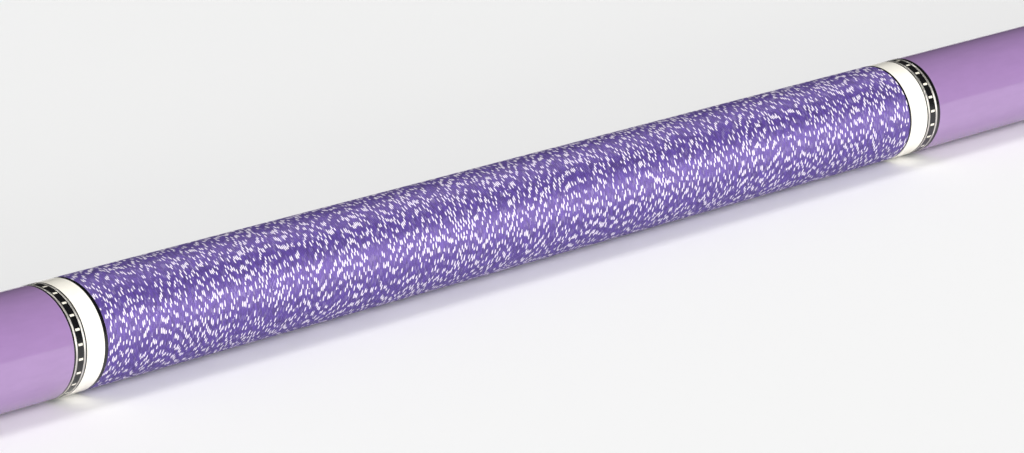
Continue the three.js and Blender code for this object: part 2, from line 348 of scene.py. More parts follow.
def add(tree, kind, inputs=None, **settings):
    """Adds a node with its settings, and feeds its inputs with constants or other nodes' outputs."""
    made = tree.nodes.new(kind)
    for key, value in settings.items():
        setattr(made, key, value)
    return feed(tree, made, inputs or {})


def feed(tree, made, inputs):
    """Sets a node's inputs, by name or number."""
    for socket, value in inputs.items():
        if isinstance(value, bpy.types.NodeSocket):
            tree.links.new(value, made.inputs[socket])
        else:
            made.inputs[socket].default_value = value
    return made


def begin(name, sockets):
    """A new material with one shader, whose constants are set on its own sockets."""
    material = bpy.data.materials.new(name)
    material.use_nodes = True
    tree = material.node_tree
    tree.nodes.clear()
    shader = add(tree, "ShaderNodeBsdfPrincipled", sockets)
    add(tree, "ShaderNodeOutputMaterial", {"Surface": shader.outputs[0]})
    return material, tree, shader


def step_place(tree, steps):
    """Object coordinates counted in pattern steps, whose lengths are given in millimetres."""
    place = add(tree, "ShaderNodeTexCoord")
    rates = tuple(1 / (step * MM) for step in steps)
    return add(tree, "ShaderNodeVectorMath", {0: place.outputs["Object"], 1: rates},
               operation="MULTIPLY").outputs[0]


def shade(tree, shader, amount, dark, light, low=0.3, high=0.7):
    """Runs the base colour from dark to light as amount goes from low to high."""
    share = add(tree, "ShaderNodeMapRange", {"Value": amount, "From Min": low, "From Max": high})
    mixed = add(tree, "ShaderNodeMix", {0: share.outputs[0], 6: (*dark, 1), 7: (*light, 1)}, data_type="RGBA")
    if shader:
        feed(tree, shader, {"Base Color": mixed.outputs[2]})
    return mixed.outputs[2]


def roughen(tree, shader, amount, low, high):
    """Runs the roughness from low to high as amount goes from 0 to 1."""
    share = add(tree, "ShaderNodeMapRange", {"Value": amount, "To Min": low, "To Max": high})
    feed(tree, shader, {"Roughness": share.outputs[0]})


def emboss(tree, shader, amount, depth, socket="Normal"):
    """Raises the surface by amount times depth, in millimetres."""
    bump = add(tree, "ShaderNodeBump", {"Height": amount, "Distance": depth * MM, "Strength": 1.0})
    feed(tree, shader, {socket: bump.outputs[0]})


def dim(colour_value, share):
    """A share of a colour's light."""
    return tuple(channel * share for channel in colour_value)


def lilac_lacquer():
    # Sprayed acrylic lacquer: an even pigment layer under a deep, buffed clear coat. It gives soft
    # body colour with clear mirror images on top, and a trace of orange peel 2 mm across.
    tint = bpy.context.scene.cue_colours.lacquer
    material, tree, shader = begin("lilac lacquer", {
        "Roughness": 0.5, "IOR": 1.5, "Coat Weight": 1.0, "Coat Roughness": 0.025, "Coat IOR": 1.6})
    drift = add(tree, "ShaderNodeTexNoise", {"Vector": step_place(tree, (30, 9, 9)), "Detail": 2.0})
    shade(tree, shader, drift.outputs[0], dim(tint, 0.97), dim(tint, 1.03))
    peel = add(tree, "ShaderNodeTexNoise", {"Vector": step_place(tree, (2, 2, 2)), "Detail": 1.0})
    emboss(tree, shader, peel.outputs[0], 0.004, "Coat Normal")
    return material


def ivory_resin():
    # Cast ivory-white polyester, turned and polished: warm white, glossy, with faint clouds 6 mm across.
    tint = bpy.context.scene.cue_colours.collar
    material, tree, shader = begin("ivory resin", {"Roughness": 0.16, "IOR": 1.52})
    cloud = add(tree, "ShaderNodeTexNoise", {"Vector": step_place(tree, (9, 6, 6)), "Detail": 3.0})
    shade(tree, shader, cloud.outputs[0], dim(tint, 0.965), tint)
    polish = add(tree, "ShaderNodeTexNoise", {"Vector": step_place(tree, (1.2, 1.2, 1.2)), "Detail": 2.0})
    roughen(tree, shader, polish.outputs[0], 0.12, 0.2)
    return material


def inlay_resin():
    # The same resin let into the black bands and turned flush, a shade darker where it is cut across.
    tint = bpy.context.scene.cue_colours.dash
    material, tree, shader = begin("inlay resin", {"Roughness": 0.2, "IOR": 1.52})
    cloud = add(tree, "ShaderNodeTexNoise", {"Vector": step_place(tree, (1.5, 1.5, 1.5)), "Detail": 2.0})
    shade(tree, shader, cloud.outputs[0], dim(tint, 0.9), tint)
    return material


def black_phenolic():
    # Paper phenolic, turned and polished: near black with a slight lustre from its fibres.
    tint = bpy.context.scene.cue_colours.black
    material, tree, shader = begin("black phenolic", {"Roughness": 0.25, "IOR": 1.55})
    fibre = add(tree, "ShaderNodeTexNoise", {"Vector": step_place(tree, (0.2, 0.8, 0.8)), "Detail": 3.0})
    shade(tree, shader, fibre.outputs[0], dim(tint, 0.8), dim(tint, 1.6))
    roughen(tree, shader, fibre.outputs[0], 0.18, 0.32)
    return material


def nickel_silver():
    # Nickel silver sheet, turned on the cue: bright, with tool lines round it 0.1 mm apart.
    tint = bpy.context.scene.cue_colours.silver
    material, tree, shader = begin("nickel silver", {"Metallic": 1.0, "Roughness": 0.22})
    lines = add(tree, "ShaderNodeTexNoise", {"Vector": step_place(tree, (0.1, 14, 14)), "Detail": 2.0})
    shade(tree, shader, lines.outputs[0], dim(tint, 0.86), tint)
    roughen(tree, shader, lines.outputs[0], 0.25, 0.42)
    emboss(tree, shader, lines.outputs[0], 0.07)
    return material


def plain_metal(name, tint, line):
    # Machined metal: satin, with tool marks across it.
    material, tree, shader = begin(name, {"Metallic": 1.0, "Roughness": 0.3})
    marks = add(tree, "ShaderNodeTexNoise", {"Vector": step_place(tree, (line, 3, 3)), "Detail": 3.0})
    shade(tree, shader, marks.outputs[0], dim(tint, 0.8), tint)
    roughen(tree, shader, marks.outputs[0], 0.22, 0.4)
    emboss(tree, shader, marks.outputs[0], 0.01)
    return material


def maple(name, coat):
    # Hard maple planed along the grain: pale, with growth lines 1.5 mm apart that run nearly along the
    # cue, darker fibres 6 mm long, and a thin satin sealer.
    tint = bpy.context.scene.cue_colours.maple
    material, tree, shader = begin(name, {"Roughness": 0.4, "IOR": 1.5, "Coat Weight": coat,
                                          "Coat Roughness": 0.2})
    growth = add(tree, "ShaderNodeTexNoise",
                 {"Vector": step_place(tree, (190, 3.2, 1.5)), "Detail": 3.0, "Distortion": 0.6})
    broad = shade(tree, None, growth.outputs[0], dim(tint, 0.86), tint, 0.35, 0.62)
    fibre = add(tree, "ShaderNodeTexNoise", {"Vector": step_place(tree, (6, 0.28, 0.28)), "Detail": 2.0})
    pores = add(tree, "ShaderNodeMapRange",
                {"Value": fibre.outputs[0], "From Min": 0.6, "From Max": 0.78, "To Max": 0.4})
    brown = (tint[0] * 0.6, tint[1] * 0.5, tint[2] * 0.38, 1)
    wood = add(tree, "ShaderNodeMix", {0: pores.outputs[0], 6: broad, 7: brown}, data_type="RGBA")
    feed(tree, shader, {"Base Color": wood.outputs[2]})
    roughen(tree, shader, fibre.outputs[0], 0.32, 0.48)
    emboss(tree, shader, fibre.outputs[0], 0.012)
    return material


def black_rubber():
    # Moulded rubber: dull near-black with a fine spark-eroded grain 0.5 mm across and a dusty bloom.
    material, tree, shader = begin("black rubber", {"Roughness": 0.62, "IOR": 1.5})
    bloom = add(tree, "ShaderNodeTexNoise", {"Vector": step_place(tree, (4, 4, 4)), "Detail": 4.0})
    shade(tree, shader, bloom.outputs[0], linear("#151517"), linear("#242427"))
    grain = add(tree, "ShaderNodeTexNoise", {"Vector": step_place(tree, (0.5, 0.5, 0.5)), "Detail": 2.0})
    roughen(tree, shader, grain.outputs[0], 0.5, 0.75)
    emboss(tree, shader, grain.outputs[0], 0.03)
    return material


def fibre_board():
    # Vulcanised fibre disc: pressed paper in layers 0.15 mm thick, waxy and dark.
    material, tree, shader = begin("vulcanised fibre", {"Roughness": 0.45, "IOR": 1.5})
    layers = add(tree, "ShaderNodeTexNoise", {"Vector": step_place(tree, (0.15, 5, 5)), "Detail": 2.0})
    shade(tree, shader, layers.outputs[0], linear("#1D1D21"), linear("#34343A"))
    emboss(tree, shader, layers.outputs[0], 0.01)
    return material


def tip_leather():
    # Pressed pig leather: brown layers 0.8 mm thick burnished at the side, chalked blue over the dome.
    material, tree, shader = begin("tip leather", {"Roughness": 0.85, "IOR": 1.45})
    layers = add(tree, "ShaderNodeTexNoise", {"Vector": step_place(tree, (0.8, 4, 4)), "Detail": 4.0})
    leather = shade(tree, None, layers.outputs[0], linear("#5A3A24"), linear("#86603F"))
    dust = add(tree, "ShaderNodeTexNoise", {"Vector": step_place(tree, (0.9, 0.9, 0.9)), "Detail": 5.0})
    chalk = shade(tree, None, dust.outputs[0], linear("#3F7188"), linear("#7FB0C2"))
    place = add(tree, "ShaderNodeTexCoord")
    along = add(tree, "ShaderNodeSeparateXYZ", {0: place.outputs["Object"]})
    edge = add(tree, "ShaderNodeMath", {0: dust.outputs[0], 1: 1.6 * MM, 2: along.outputs[0]},
               operation="MULTIPLY_ADD")
    cover = add(tree, "ShaderNodeMapRange", {"Value": edge.outputs[0], "From Min": 1469.6 * MM,
                                             "From Max": 1470.8 * MM})
    mixed = add(tree, "ShaderNodeMix", {0: cover.outputs[0], 6: leather, 7: chalk}, data_type="RGBA")
    feed(tree, shader, {"Base Color": mixed.outputs[2]})
    emboss(tree, shader, dust.outputs[0], 0.08)
    return material


def linen_thread():
    # Twisted linen, wound tight, pressed and waxed: violet plies with one pale ply that comes to the
    # top every 3.15 mm of thread and is often buried, so it shows as short scattered flecks. The
    # piece's own map gives millimetres along the thread and the share of the way across it.
    sizes = bpy.context.scene.cue_sizes
    colours = bpy.context.scene.cue_colours
    period = sizes.fleck_spacing / MM
    material, tree, shader = begin("flecked linen thread", {
        "Roughness": 0.34, "IOR": 1.65, "Specular IOR Level": 1.0,
        "Specular Tint": (0.68, 0.51, 1.0, 1)})
    thread = add(tree, "ShaderNodeUVMap", uv_map="thread")
    axes = add(tree, "ShaderNodeSeparateXYZ", {0: thread.outputs[0]})
    along, across = axes.outputs[0], axes.outputs[1]

    # Twist that is a little uneven moves the pale ply back and forth by a few millimetres.
    slow = add(tree, "ShaderNodeMath", {0: along, 1: 1 / 70}, operation="MULTIPLY")
    wander = add(tree, "ShaderNodeTexNoise", {"W": slow.outputs[0], "Scale": 1.0, "Detail": 1.0},
                 noise_dimensions="1D")
    moved = add(tree, "ShaderNodeMath", {0: wander.outputs[0], 1: 5.5, 2: along}, operation="MULTIPLY_ADD")
    slanted = add(tree, "ShaderNodeMath", {0: across, 1: 0.35, 2: moved.outputs[0]}, operation="MULTIPLY_ADD")
    turns = add(tree, "ShaderNodeMath", {0: slanted.outputs[0], 1: period}, operation="DIVIDE")
    number = add(tree, "ShaderNodeMath", {0: turns.outputs[0]}, operation="FLOOR")
    part = add(tree, "ShaderNodeMath", {0: turns.outputs[0]}, operation="FRACT")
    chance = add(tree, "ShaderNodeTexWhiteNoise", {"W": number.outputs[0]}, noise_dimensions="1D")
    lots = add(tree, "ShaderNodeSeparateColor", {0: chance.outputs[1]})

    # The pale ply shows oftener in some patches, about 36 mm long, than in others.
    crowd = add(tree, "ShaderNodeTexNoise", {"Vector": step_place(tree, (36, 13, 13)), "Detail": 1.0})
    often = add(tree, "ShaderNodeMapRange",
                {"Value": crowd.outputs[0], "From Min": 0.35, "From Max": 0.65, "To Min": 0.48, "To Max": 0.62})
    shown = add(tree, "ShaderNodeMath", {0: chance.outputs[0], 1: often.outputs[0]}, operation="LESS_THAN")

    # Each fleck is a lens 0.9 to 1.9 mm long that fills most of the thread's width, frayed by fibres
    # 0.1 mm thick.
    centre = add(tree, "ShaderNodeMapRange", {"Value": lots.outputs[0], "To Min": 0.36, "To Max": 0.64})
    half = add(tree, "ShaderNodeMapRange",
               {"Value": lots.outputs[1], "To Min": 0.45 / period, "To Max": 0.95 / period})
    off = add(tree, "ShaderNodeMath", {0: part.outputs[0], 1: centre.outputs[0]}, operation="SUBTRACT")
    ratio = add(tree, "ShaderNodeMath", {0: off.outputs[0], 1: half.outputs[0]}, operation="DIVIDE")
    long_part = add(tree, "ShaderNodeMath", {0: ratio.outputs[0], 1: 2.0}, operation="POWER")
    side = add(tree, "ShaderNodeMath", {0: across, 1: 0.5}, operation="SUBTRACT")
    wide = add(tree, "ShaderNodeMath", {0: side.outputs[0], 1: 2.35}, operation="MULTIPLY")
    wide_part = add(tree, "ShaderNodeMath", {0: wide.outputs[0], 1: 2.0}, operation="POWER")
    reach = add(tree, "ShaderNodeMath", {0: long_part.outputs[0], 1: wide_part.outputs[0]}, operation="ADD")
    fibres = add(tree, "ShaderNodeTexNoise", {"Vector": step_place(tree, (0.1, 0.35, 0.35)), "Detail": 1.0})
    frayed = add(tree, "ShaderNodeMath", {0: fibres.outputs[0], 1: 0.9, 2: reach.outputs[0]},
                 operation="MULTIPLY_ADD")
    lens = add(tree, "ShaderNodeMapRange",
               {"Value": frayed.outputs[0], "From Min": 1.2, "From Max": 1.6, "To Min": 1.0, "To Max": 0.0})
    strong = add(tree, "ShaderNodeMapRange", {"Value": lots.outputs[2], "To Min": 0.88, "To Max": 1.0})
    faint = add(tree, "ShaderNodeMapRange", {"Value": lots.outputs[2], "To Min": 0.0, "To Max": 0.16})
    cover = add(tree, "ShaderNodeMix", {0: shown.outputs[0], 2: faint.outputs[0], 3: strong.outputs[0]})
    fleck = add(tree, "ShaderNodeMath", {0: lens.outputs[0], 1: cover.outputs[0]}, operation="MULTIPLY")

    # The violet changes from length to length of thread. Towards the groove between turns it is darkened as
    # painted shade.
    quick = add(tree, "ShaderNodeMath", {0: along, 1: 1 / 3.5}, operation="MULTIPLY")
    dye = add(tree, "ShaderNodeTexNoise", {"W": quick.outputs[0], "Scale": 1.0, "Detail": 3.0},
              noise_dimensions="1D")
    violet = shade(tree, None, dye.outputs[0], dim(colours.thread, 0.6), dim(colours.thread, 1.35))
    plies = add(tree, "ShaderNodeMix", {0: fleck.outputs[0], 6: violet, 7: (*colours.fleck, 1)},
                data_type="RGBA")
    # Painted shade: each turn's edges are darkened towards the groove.
    depth = add(tree, "ShaderNodeMapRange",
                {"Value": wide_part.outputs[0], "From Min": 0.25, "From Max": 1.0, "To Max": 0.7})
    groove = add(tree, "ShaderNodeMix", {0: depth.outputs[0], 6: plies.outputs[2],
                                         7: (*dim(colours.thread, 0.35), 1)}, data_type="RGBA")
    feed(tree, shader, {"Base Color": groove.outputs[2]})

    # The twist's own ridges lie 0.45 mm apart and slanted.
    lay = add(tree, "ShaderNodeMath", {0: across, 1: 0.3, 2: along}, operation="MULTIPLY_ADD")
    count = add(tree, "ShaderNodeMath", {0: lay.outputs[0], 1: FULL_TURN / 0.45}, operation="MULTIPLY")
    twist = add(tree, "ShaderNodeMath", {0: count.outputs[0]}, operation="SINE")
    emboss(tree, shader, twist.outputs[0], 0.012)
    return material


MAKERS = {
    "lacquer": lilac_lacquer,
    "white_collar": ivory_resin,
    "white_inlay": inlay_resin,
    "black_ring": black_phenolic,
    "silver_ring": nickel_silver,
    "linen_wrap": linen_thread,
    "maple_core": lambda: maple("core maple", 0.0),
    "maple_shaft": lambda: maple("shaft maple", 0.35),
    "steel": lambda: plain_metal("machined steel", linear("#B4B3B0"), 0.12),
    "brass": lambda: plain_metal("machined brass", linear("#C8A04E"), 0.12),
    "rubber": black_rubber,
    "fibre_pad": fibre_board,
    "leather_tip": tip_leather,
}
_made = {}


def finish_of(slot):
    """The material of a slot, made once."""
    if slot not in _made:
        _made[slot] = MAKERS[slot]()
    return _made[slot]


# ---------------------------------------------------------------- operators

class CUE_OT_stage(bpy.types.Operator):
    """Lay the floor under the cue, light it and set up the camera"""
    bl_idname = "cue.stage"
    bl_label = "Stage"

    def execute(self, context):
        # The floor touches the butt's straight cone, so it climbs with the taper.
        bpy.ops.object.select_all(action="DESELECT")
        bpy.ops.mesh.primitive_plane_add(
            size=160, location=(WRAP_MIDDLE_X * MM, 0, -WRAP_MIDDLE_RADIUS * MM), rotation=(0, -TAPER, 0))
        floor = context.object
        floor.name = "floor"
        bpy.ops.object.transform_apply(location=True, rotation=True, scale=True)
        # Painted board, matt and even. Its colour is darkened a little behind the cue as painted shade.
        tint = context.scene.cue_colours.floor
        material, tree, shader = begin("white painted board", {"Roughness": 0.8, "Specular IOR Level": 0.2})
        place = add(tree, "ShaderNodeTexCoord")
        across = add(tree, "ShaderNodeSeparateXYZ", {0: place.outputs["Object"]})
        shade(tree, shader, across.outputs[1], tint, dim(tint, 0.97), -0.05, 0.12)
        floor.data.materials.append(material)

        # A broad light in front, one at the height of the floor, a harder one overhead and a dim pale room.
        for name, towards, strength, spread in (
                ("front light", (-0.50, -0.72, 0.45), 2.05, 42),
                ("low light", (0.05, -0.99, 0.0), 3.35, 30),
                ("ceiling light", (-0.05, 0.13, 0.99), 0.9, 20)):
            bpy.ops.object.light_add(type="SUN", location=(0, 0, 3))
            lamp = context.object
            lamp.name = name
            lamp.rotation_euler = Vector(towards).to_track_quat("Z", "Y").to_euler()
            lamp.data.energy = strength
            lamp.data.angle = math.radians(spread)
        context.scene.world = room()

        # The camera stands in front of the cue, past its butt, and looks a little down on the handle.
        right, up, back = (0.7103, -0.7039, 0), (0.1952, 0.1970, 0.9608), (-0.6763, -0.6824, 0.2773)
        turned_to = Matrix((right, up, back)).transposed()
        bpy.ops.object.camera_add(location=(-1.6928, -2.0417, 0.8258), rotation=turned_to.to_euler())
        camera = context.object
        camera.data.lens = 391.9
        camera.data.sensor_width = 36
        context.scene.camera = camera
        context.scene.view_settings.view_transform = "Standard"
        return {"FINISHED"}


def room():
    """A pale room that is dark towards the tip's end, so that the lacquer mirrors a clear edge of the floor."""
    world = bpy.data.worlds.new("room")
    world.use_nodes = True
    tree = world.node_tree
    place = add(tree, "ShaderNodeTexCoord")
    along = add(tree, "ShaderNodeSeparateXYZ", {0: place.outputs["Generated"]})
    glow = add(tree, "ShaderNodeMapRange", {"Value": along.outputs[0], "From Min": 0.25, "From Max": 0.6,
                                            "To Min": 0.48, "To Max": 0.04}, interpolation_type="SMOOTHSTEP")
    seen = add(tree, "ShaderNodeLightPath")
    shown = add(tree, "ShaderNodeMix", {0: seen.outputs["Is Camera Ray"], 2: glow.outputs[0], 3: 0.8})
    feed(tree, tree.nodes["Background"], {"Color": (1, 1, 0.99, 1), "Strength": shown.outputs[0]})
    return world


class CUE_OT_bumper(bpy.types.Operator):
    """Turn the rubber bumper with its stem and dished end"""
    bl_idname = "cue.bumper"
    bl_label = "Bumper"

    def execute(self, context):
        start, end = span("bumper")
        outline = [(start + 0.9, 0), (start + 0.9, 3.2), (start + 0.5, 4.1), (start + 0.1, 4.9), (start, 5.6),
                   (start, 10.0), (start + 0.15, 10.9), (start + 0.55, 11.6), (start + 1.2, 12.1),
                   (start + 2.2, 12.4), (start + 5, 12.55), (start + 9.6, 12.6), (start + 10.5, 12.5),
                   (start + 11, 12.2), (start + 11, 6), (end - 1, 6), (end - 0.3, 5.7), (end, 5.2), (end, 0)]
        fit(turn("bumper_rubber", outline), "bumper", "rubber", "bumper", finish_of("rubber"))
        return {"FINISHED"}


class CUE_OT_butt_cap(bpy.types.Operator):
    """Turn the butt cap with its rounded end, bored for the bumper and the core"""
    bl_idname = "cue.butt_cap"
    bl_label = "Butt cap"

    def execute(self, context):
        start, end = span("butt_cap")
        round_over = 3
        edge = [(start + round_over * (1 - math.cos(a)),
                 butt_radius(start + round_over) - round_over * (1 - math.sin(a)))
                for a in (math.pi / 2 * i / 8 for i in range(9))]
        floor_x = span("handle_core")[0] - GLUE
        bore = CAP_TENON_RADIUS + GLUE
        outline = [(start, STEM_HOLE_RADIUS), *edge, (end - 0.05, butt_radius(end)),
                   (end, butt_radius(end) - 0.05), (end, bore), (floor_x, bore),
                   (floor_x, STEM_HOLE_RADIUS), (start, STEM_HOLE_RADIUS)]
        fit(turn("butt_cap_resin", outline), "butt", "white_collar", "butt_cap", finish_of("white_collar"))
        return {"FINISHED"}


class CUE_OT_rings(bpy.types.Operator):
    """Turn every plain ring: black, nickel silver and ivory"""
    bl_idname = "cue.rings"
    bl_label = "Rings and collars"

    def execute(self, context):
        bores = {"butt": CORE_RADIUS, "lower": CORE_RADIUS, "upper": CORE_TOP_RADIUS, "joint": TENON_RADIUS,
                 "shaft": TENON_RADIUS}
        rows = [("silver_ring", ("butt_inner_silver", "butt_outer_silver", "lower_outer_silver",
                                 "lower_inner_silver", "upper_inner_silver", "upper_outer_silver",
                                 "joint_inner_silver", "joint_outer_silver", "shaft_silver")),
                ("black_ring", ("lower_edge_ring", "lower_spacer", "lower_wrap_stop", "upper_wrap_stop",
                                "upper_spacer", "upper_edge_ring")),
                ("white_collar", ("lower_collar", "upper_collar", "joint_collar", "shaft_collar"))]
        for slot, nodes in rows:
            for node in nodes:
                part = node.split("_")[0]
                radius = shaft_radius if part == "shaft" else butt_radius
                piece = ring(node + "_turned", *span(node), bores[part] + GLUE, radius)
                fit(piece, body_of(node), slot, node, finish_of(slot))
        return {"FINISHED"}


class CUE_OT_dash_bands(bpy.types.Operator):
    """Cut the windows of each black band and fill them with flush ivory dashes"""
    bl_idname = "cue.dash_bands"
    bl_label = "Dash bands"

    def execute(self, context):
        sizes = context.scene.cue_sizes
        wide, long = sizes.dash_width / MM, sizes.dash_length / MM
        for part, bore, phase in (("butt", CORE_RADIUS, 4), ("lower", CORE_RADIUS, 9),
                                  ("upper", CORE_TOP_RADIUS, 6.2), ("joint", TENON_RADIUS, 2)):
            start, end = span(part + "_dash_ring")
            middle = (start + end) / 2
            shell_bore = butt_radius(end) - DASH_SHELL
            slip = 0.02
            deep = DASH_SHELL + DASH_ROOT
            centre = butt_radius(middle) - DASH_SHELL + deep / 2 - 0.3
            count = round(FULL_TURN * butt_radius(middle) / (sizes.dash_spacing / MM))

            band = ring(part + "_dash_band", start, end, shell_bore)
            cut(band, blocks("windows", middle, centre, (long, deep, wide), count, phase), "DIFFERENCE")
            bpy.ops.object.shade_smooth_by_angle(angle=math.radians(25))
            fit(band, "butt", "black_ring", part + "_dash_ring", finish_of("black_ring"))

            flush = turn("flush", [(start, bore + GLUE), (start, butt_radius(start) - slip / 2),
                                   (end, butt_radius(end) - slip / 2), (end, bore + GLUE),
                                   (start, bore + GLUE)])
            dashes = blocks(part + "_dashes", middle, centre, (long - slip, deep, wide - slip), count, phase)
            cut(dashes, flush, "INTERSECT")
            hoop = turn("hoop", [(start, bore + GLUE), (start, shell_bore - slip), (end, shell_bore - slip),
                                 (end, bore + GLUE), (start, bore + GLUE)])
            cut(dashes, hoop, "UNION")
            bpy.ops.object.select_all(action="DESELECT")
            dashes.select_set(True)
            bpy.ops.object.shade_smooth_by_angle(angle=math.radians(25))
            fit(dashes, "butt", "white_inlay", part + "_dash_inlay", finish_of("white_inlay"))
        return {"FINISHED"}


class CUE_OT_lacquered_wood(bpy.types.Operator):
    """Turn the butt sleeve and the forearm, lacquered outside and bare maple in their bores"""
    bl_idname = "cue.lacquered_wood"
    bl_label = "Sleeve and forearm"

    def execute(self, context):
        edge = context.scene.cue_sizes.ring_edge / MM
        sleeve = ring("butt_sleeve_lacquered", *span("butt_sleeve"), CORE_RADIUS + GLUE)
        start = span("forearm")[0]
        end = span("joint_inner_silver")[0]
        stud_end = span("handle_stud")[1] + GLUE
        core_end = span("handle_core")[1] + GLUE
        pin_start = span("joint_pin")[0] - GLUE
        face = JOINT_X - GLUE
        outline = [(stud_end, 0), (stud_end, STUD_HOLE_RADIUS), (core_end, STUD_HOLE_RADIUS),
                   (core_end, CORE_TOP_RADIUS + GLUE), (start, CORE_TOP_RADIUS + GLUE),
                   *outside(start, end, butt_radius, edge), (end, TENON_RADIUS), (face, TENON_RADIUS),
                   (face, STUD_HOLE_RADIUS), (pin_start, STUD_HOLE_RADIUS), (pin_start, 0)]
        forearm = turn("forearm_lacquered", outline)
        for piece, node in ((sleeve, "butt_sleeve"), (forearm, "forearm")):
            fit(piece, "butt", "lacquer", node, finish_of("lacquer"), finish_of("maple_core"))
            for side in piece.data.polygons:
                reach = math.hypot(side.center.y, side.center.z) / MM
                side.material_index = int(reach < butt_radius(side.center.x / MM) - 0.5)
        return {"FINISHED"}


class CUE_OT_wrap(bpy.types.Operator):
    """Wind the linen thread between the two wrap stops"""
    bl_idname = "cue.wrap"
    bl_label = "Linen wrap"

    def execute(self, context):
        sizes = context.scene.cue_sizes
        pitch, rise = sizes.thread_pitch / MM, sizes.thread_rise / MM
        start, end = span("wrap")
        middle = (start + end) / 2
        ridge = [(0, -rise), (0.25, -0.2 * rise), (0.5, 0), (0.75, -0.2 * rise), (1, -rise)]
        for name, first, last in (("wrap_lower", start, middle), ("wrap_upper", middle, end)):
            piece = wind(name, first, last, start, pitch, ridge, butt_radius)
            wall(piece, lambda x: butt_radius(x) - WRAP_THICKNESS)
            map_thread(piece, start, pitch)
            fit(piece, "butt", "linen_wrap", "wrap", finish_of("linen_wrap"))
        return {"FINISHED"}


def map_thread(piece, start, pitch):
    """Maps every face corner to millimetres along the thread and the share of the way across it."""
    mesh = piece.data
    points = corners(piece)
    x = points[:, 0] / MM
    angle = -np.arctan2(points[:, 1], points[:, 2])
    loops = np.empty(len(mesh.loops), dtype=np.int64)
    mesh.loops.foreach_get("vertex_index", loops)
    starts = np.empty(len(mesh.polygons), dtype=np.int64)
    totals = np.empty(len(mesh.polygons), dtype=np.int64)
    mesh.polygons.foreach_get("loop_start", starts)
    mesh.polygons.foreach_get("loop_total", totals)
    face = np.repeat(np.arange(len(totals)), totals)
    first_angle = angle[loops[starts]][face]
    near = first_angle + (angle[loops] - first_angle + math.pi) % FULL_TURN - math.pi
    middle_x = np.add.reduceat(x[loops], starts) / totals
    middle_angle = np.add.reduceat(near, starts) / totals
    number = np.floor((middle_x - start) / pitch - middle_angle / FULL_TURN)[face]
    wound = number + near / FULL_TURN
    along = FULL_TURN * wound * butt_radius(start + pitch * wound / 2)
    across = (x[loops] - start) / pitch - wound
    layer = mesh.uv_layers.new(name="thread")
    layer.data.foreach_set("uv", np.stack([along, across], axis=1).astype(np.float32).ravel())


class CUE_OT_core(bpy.types.Operator):
    """Turn the handle core, its stud and the weight bolt with its key socket"""
    bl_idname = "cue.core"
    bl_label = "Handle core"

    def execute(self, context):
        stop = span("wrap")
        bare = [butt_radius(x) - WRAP_THICKNESS - GLUE for x in stop]
        low, high = span("handle_core")
        shoulder = span("butt_cap")[1] + GLUE
        stud_start = span("handle_stud")[0] - GLUE
        outline = [(96, 0), (96, 4.8), (low, 4.8), (low, CAP_TENON_RADIUS - 0.4),
                   (low + 0.4, CAP_TENON_RADIUS), (shoulder, CAP_TENON_RADIUS), (shoulder, CORE_RADIUS),
                   (stop[0] + GLUE, CORE_RADIUS), (stop[0] + GLUE, bare[0]), (stop[1] - GLUE, bare[1]),
                   (stop[1] - GLUE, CORE_TOP_RADIUS), (high - 0.4, CORE_TOP_RADIUS),
                   (high, CORE_TOP_RADIUS - 0.4), (high, STUD_HOLE_RADIUS),
                   (stud_start, STUD_HOLE_RADIUS), (stud_start, 0)]
        core = turn("handle_core_maple", outline)
        fit(core, "butt", "maple_core", "handle_core", finish_of("maple_core"))

        start, end = span("handle_stud")
        stud = turn("handle_stud_steel", [(start, 0), (start, 3.5), (start + 0.4, 3.9), (end - 1, 3.9),
                                          (end, 2.9), (end, 0)])
        fit(stud, "butt", "steel", "handle_stud", finish_of("steel"))

        start, end = span("weight_bolt")
        bolt = turn("weight_bolt_steel", [(start, 0), (start, 4.3), (start + 0.4, 4.7), (end - 1.2, 4.7),
                                          (end, 3.5), (end, 0)])
        bpy.ops.object.select_all(action="DESELECT")
        bpy.ops.mesh.primitive_cylinder_add(vertices=6, radius=2.7 * MM, depth=16 * MM,
                                            location=((start - 1) * MM, 0, 0), rotation=(0, math.pi / 2, 0))
        key = context.object
        # The key's corners fall halfway between the bolt's own edges, so that the cut leaves no slivers.
        key.rotation_euler.rotate_axis("Z", FULL_TURN * 4.5 / SIDES)
        bpy.ops.object.transform_apply(location=True, rotation=True, scale=True)
        cut(bolt, key, "DIFFERENCE")
        fit(bolt, "butt", "steel", "weight_bolt", finish_of("steel"))
        return {"FINISHED"}


class CUE_OT_joint(bpy.types.Operator):
    """Cut the threads of the joint pin and of the brass insert that takes it"""
    bl_idname = "cue.joint"
    bl_label = "Joint pin and insert"

    def execute(self, context):
        pitch = context.scene.cue_sizes.pin_pitch / MM
        start, end = span("joint_pin")
        root, crest, chamfer = 3.15, 3.9, 2
        depth = crest - root
        ridge = [(0, 0), (0.1, 0), (0.42, depth), (0.58, depth), (0.9, 0), (1, 0)]
        pin = wind("joint_pin_threaded", start, end, start, pitch, ridge, level(root),
                   lambda x: crest - 0.8 * np.maximum(0, x - end + chamfer), THREAD_STEPS)
        for at in (start, end):
            bpy.ops.mesh.select_all(action="DESELECT")
            bpy.ops.object.mode_set(mode="OBJECT")
            for corner in pin.data.vertices:
                corner.select = abs(corner.co.x / MM - at) < 0.001
            bpy.ops.object.mode_set(mode="EDIT")
            bpy.ops.mesh.edge_face_add()
        close(pin, 28)
        fit(pin, "butt", "steel", "joint_pin", finish_of("steel"))

        start, end = span("shaft_insert")
        bore, depth, outer = 4.15, 0.6, 5.8
        groove = [(0, 0), (0.1, 0), (0.42, depth), (0.58, depth), (0.9, 0), (1, 0)]
        insert = wind("shaft_insert_threaded", start, end, start, pitch, groove, level(bore),
                      steps=THREAD_STEPS)
        wall(insert, level(outer))
        fit(insert, "insert", "brass", "shaft_insert", finish_of("brass"))
        return {"FINISHED"}


